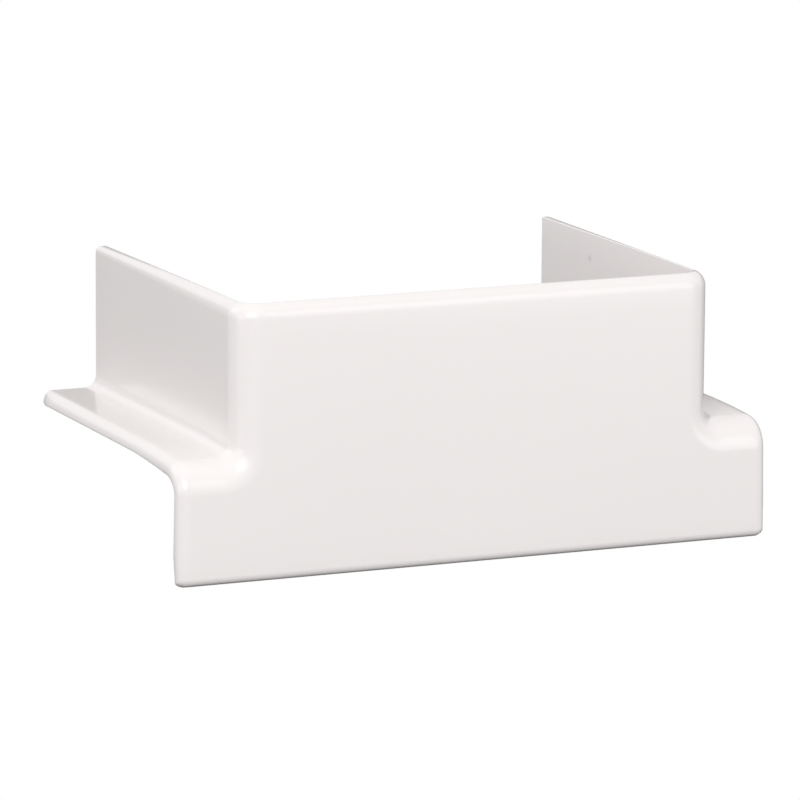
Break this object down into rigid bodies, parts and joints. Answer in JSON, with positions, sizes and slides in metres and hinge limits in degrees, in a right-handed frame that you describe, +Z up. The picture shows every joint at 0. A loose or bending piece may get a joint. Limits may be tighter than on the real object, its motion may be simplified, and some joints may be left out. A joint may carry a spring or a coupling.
{
  "type": "trunking tee cover",
  "caption": "Moulded tee cover for surface cable trunking: an open-backed block fits over the riser, and a wider band with side shelves laps over the top edge of the main run.",
  "frame": {"origin": "on the wall plane, at mid-width, level with the bottom edge of the band", "axes": "+X along the main run, to the right seen from the front; +Y from the front face into the wall; +Z up along the riser"},
  "size_m": [0.1058, 0.062, 0.0453],
  "materials": {
    "white_plastic": "glossy, moulded, very slightly warm white"
  },
  "bodies": {
    "root": {"tee_cover": "white_plastic"}
  },
  "joints": []
}
